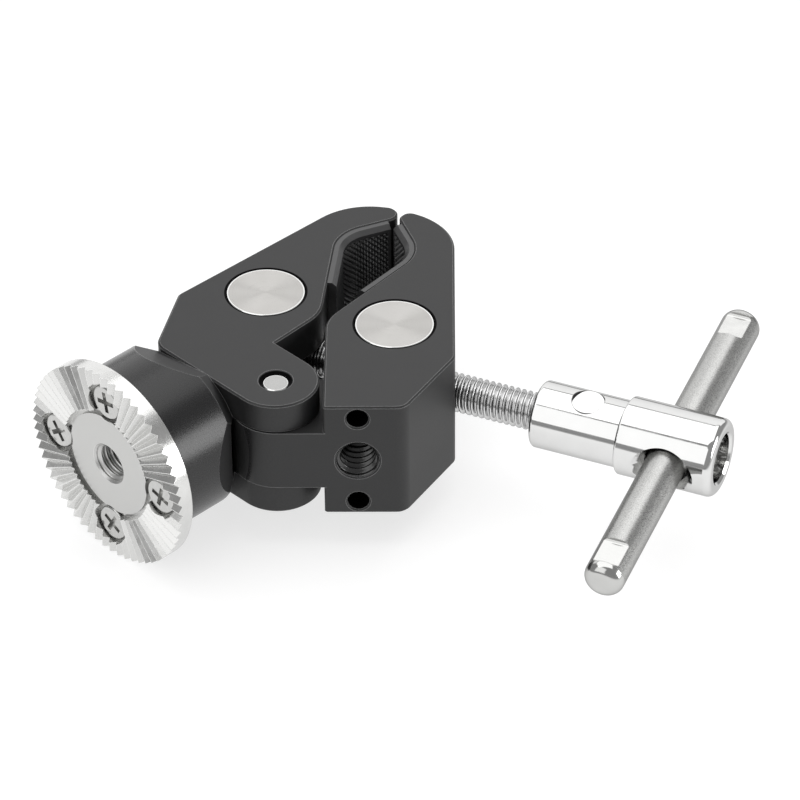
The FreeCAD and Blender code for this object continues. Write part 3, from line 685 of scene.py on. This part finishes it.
def pad_line(side):
    """Stations along the pad's grip surface: (place, direction out of the jaw, run)."""
    along, across = SEAT_CORNER
    corner = PIVOT + ALONG_CLOSING * along + ACROSS_CLOSING * (across * side)
    throat = (PIVOT + Vector((*JAW_THROAT[side], 0)) * MM - corner).normalized()
    tip = (PIVOT + Vector((*JAW_TIP[side], 0)) * MM - corner).normalized()
    half = throat.angle(tip) / 2
    inward = (throat + tip).normalized()
    centre = corner + inward * (SEAT_CORNER_RADIUS / math.sin(half))
    reach = SEAT_CORNER_RADIUS / math.tan(half)
    step = KNURL_PERIOD / KNURL_STEPS
    outs = []
    for direction in (throat, tip):
        out = direction.cross(UP)
        outs.append(out if out.dot(inward) > 0 else -out)
    turn = outs[0].angle(outs[1])
    arc = (SEAT_CORNER_RADIUS - PAD_THICKNESS) * turn
    line = []
    for distance in spaced(PAD_LOWER_LENGTH, reach, step)[:-1]:
        line.append((corner + throat * distance, outs[0], PAD_LOWER_LENGTH - distance))
    run = PAD_LOWER_LENGTH - reach
    for share in spaced(0.0, 1.0, step / arc)[:-1]:
        out = outs[0].slerp(outs[1], share)
        line.append((centre - out * SEAT_CORNER_RADIUS, out, run + arc * share))
    run += arc
    for distance in spaced(reach, PAD_UPPER_LENGTH, step):
        line.append((corner + tip * distance, outs[1], run + distance - reach))
    return line


def knurled_pad(side, name, body, node):
    """Rubber pad as a closed strip; its border and its chamfers are smooth, the rest is knurled."""
    line = pad_line(side)
    face_half = PAD_HALF_HEIGHT - PAD_CHAMFER
    knurl_half = face_half - PAD_BORDER
    heights = spaced(-knurl_half, knurl_half, KNURL_PERIOD / KNURL_STEPS)
    length = line[-1][2]
    rim = [(PAD_HALF_HEIGHT, 0.0), (PAD_HALF_HEIGHT, PAD_THICKNESS - PAD_CHAMFER), (face_half, PAD_THICKNESS)]
    vertices = []
    for place, out, run in line:
        section = [(-height, thickness) for height, thickness in rim]
        near_end = min(run, length - run) < PAD_BORDER
        for height in heights:
            plain = near_end or height in (heights[0], heights[-1])
            depth = 0.0 if plain else knurl(run, height) * KNURL_DEPTH
            section.append((height, PAD_THICKNESS - depth))
        section += reversed(rim)
        for height, thickness in section:
            vertices.append(place + out * thickness + UP * height)
    count = len(heights) + 2 * len(rim)
    flip = side == -1
    faces = []
    for station in range(len(line) - 1):
        for index in range(count):
            following = (index + 1) % count
            here = station * count
            there = here + count
            face = (here + index, here + following, there + following, there + index)
            faces.append(face[::-1] if flip else face)
    first = tuple(range(count))
    last = tuple(range((len(line) - 1) * count, len(line) * count))
    faces.append(first if flip else first[::-1])
    faces.append(last[::-1] if flip else last)
    piece = new_piece(name, vertices, faces, body, RUBBER, 25)
    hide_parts(node)


clamping_screw()
hole_threads()
knurled_pad(-1, "left_grip_pad", "left_jaw", "left_pad")
knurled_pad(1, "right_grip_pad", "right_jaw", "right_pad")


# ---------------------------------------------------------------- floor, light and camera

FLOOR_LEVEL = CAD_BOX[0].z - 0.2 * MM
FLOOR_HALF = 3.0
WORLD_STRENGTH = 0.34
LIGHT_AIM = (0.0, 0.01, 0.0)
TOP_LIGHT_X = -0.1
TOP_LIGHT_Y = 0.36

SENSOR_WIDTH = 36.0
LENS = 202.4
CAMERA_PLACE = (0.011936, -0.516450, 0.402488)
CAMERA_FORWARD = (-0.008846, 0.796950, -0.603980)
CAMERA_UP = (0.001704, 0.604015, 0.796971)


def floor():
    corners = [(x * FLOOR_HALF, y * FLOOR_HALF, FLOOR_LEVEL) for x, y in ((-1, -1), (1, -1), (1, 1), (-1, 1))]
    mesh = bpy.data.meshes.new("floor")
    mesh.from_pydata(corners, [], [(0, 1, 2, 3)])
    mesh.materials.append(pale_floor())
    sheet = bpy.data.objects.new("floor", mesh)
    bpy.context.scene.collection.objects.link(sheet)


def softbox(name, place, target, width, height, power):
    """Rectangular area light that faces a target; power in watts."""
    data = bpy.data.lights.new(name, "AREA")
    data.shape = "RECTANGLE"
    data.size = width
    data.size_y = height
    data.energy = power
    lamp = bpy.data.objects.new(name, data)
    lamp.location = place
    lamp.rotation_mode = "QUATERNION"
    lamp.rotation_quaternion = (Vector(target) - Vector(place)).to_track_quat("-Z", "Y")
    bpy.context.scene.collection.objects.link(lamp)


def studio():
    world = bpy.data.worlds.new("studio")
    bpy.context.scene.world = world
    world.use_nodes = True
    background = world.node_tree.nodes["Background"]
    background.inputs["Color"].default_value = (1, 1, 1, 1)
    background.inputs["Strength"].default_value = WORLD_STRENGTH
    softbox("softbox_top", (TOP_LIGHT_X, TOP_LIGHT_Y, 1.0), (TOP_LIGHT_X, TOP_LIGHT_Y, 0.0), 1.6, 1.28, 9.4)
    softbox("softbox_back", (0.0, 0.93, 0.37), LIGHT_AIM, 1.9, 0.72, 3.8)
    softbox("softbox_left", (-0.585, -0.57, 0.576), LIGHT_AIM, 0.9, 0.92, 2.7)
    softbox("softbox_right", (0.98, -0.22, 0.20), LIGHT_AIM, 0.60, 0.44, 4.6)
    bpy.context.scene.view_settings.view_transform = "Standard"
    bpy.context.scene.view_settings.look = "None"


def camera():
    data = bpy.data.cameras.new("camera")
    data.sensor_width = SENSOR_WIDTH
    data.lens = LENS
    data.clip_start = 0.05
    data.clip_end = 20.0
    forward = Vector(CAMERA_FORWARD).normalized()
    right = forward.cross(Vector(CAMERA_UP)).normalized()
    up = right.cross(forward)
    turn = Matrix((right, up, -forward)).transposed().to_4x4()
    view = bpy.data.objects.new("camera", data)
    view.matrix_world = Matrix.Translation(CAMERA_PLACE) @ turn
    bpy.context.scene.collection.objects.link(view)
    bpy.context.scene.camera = view


floor()
studio()
camera()
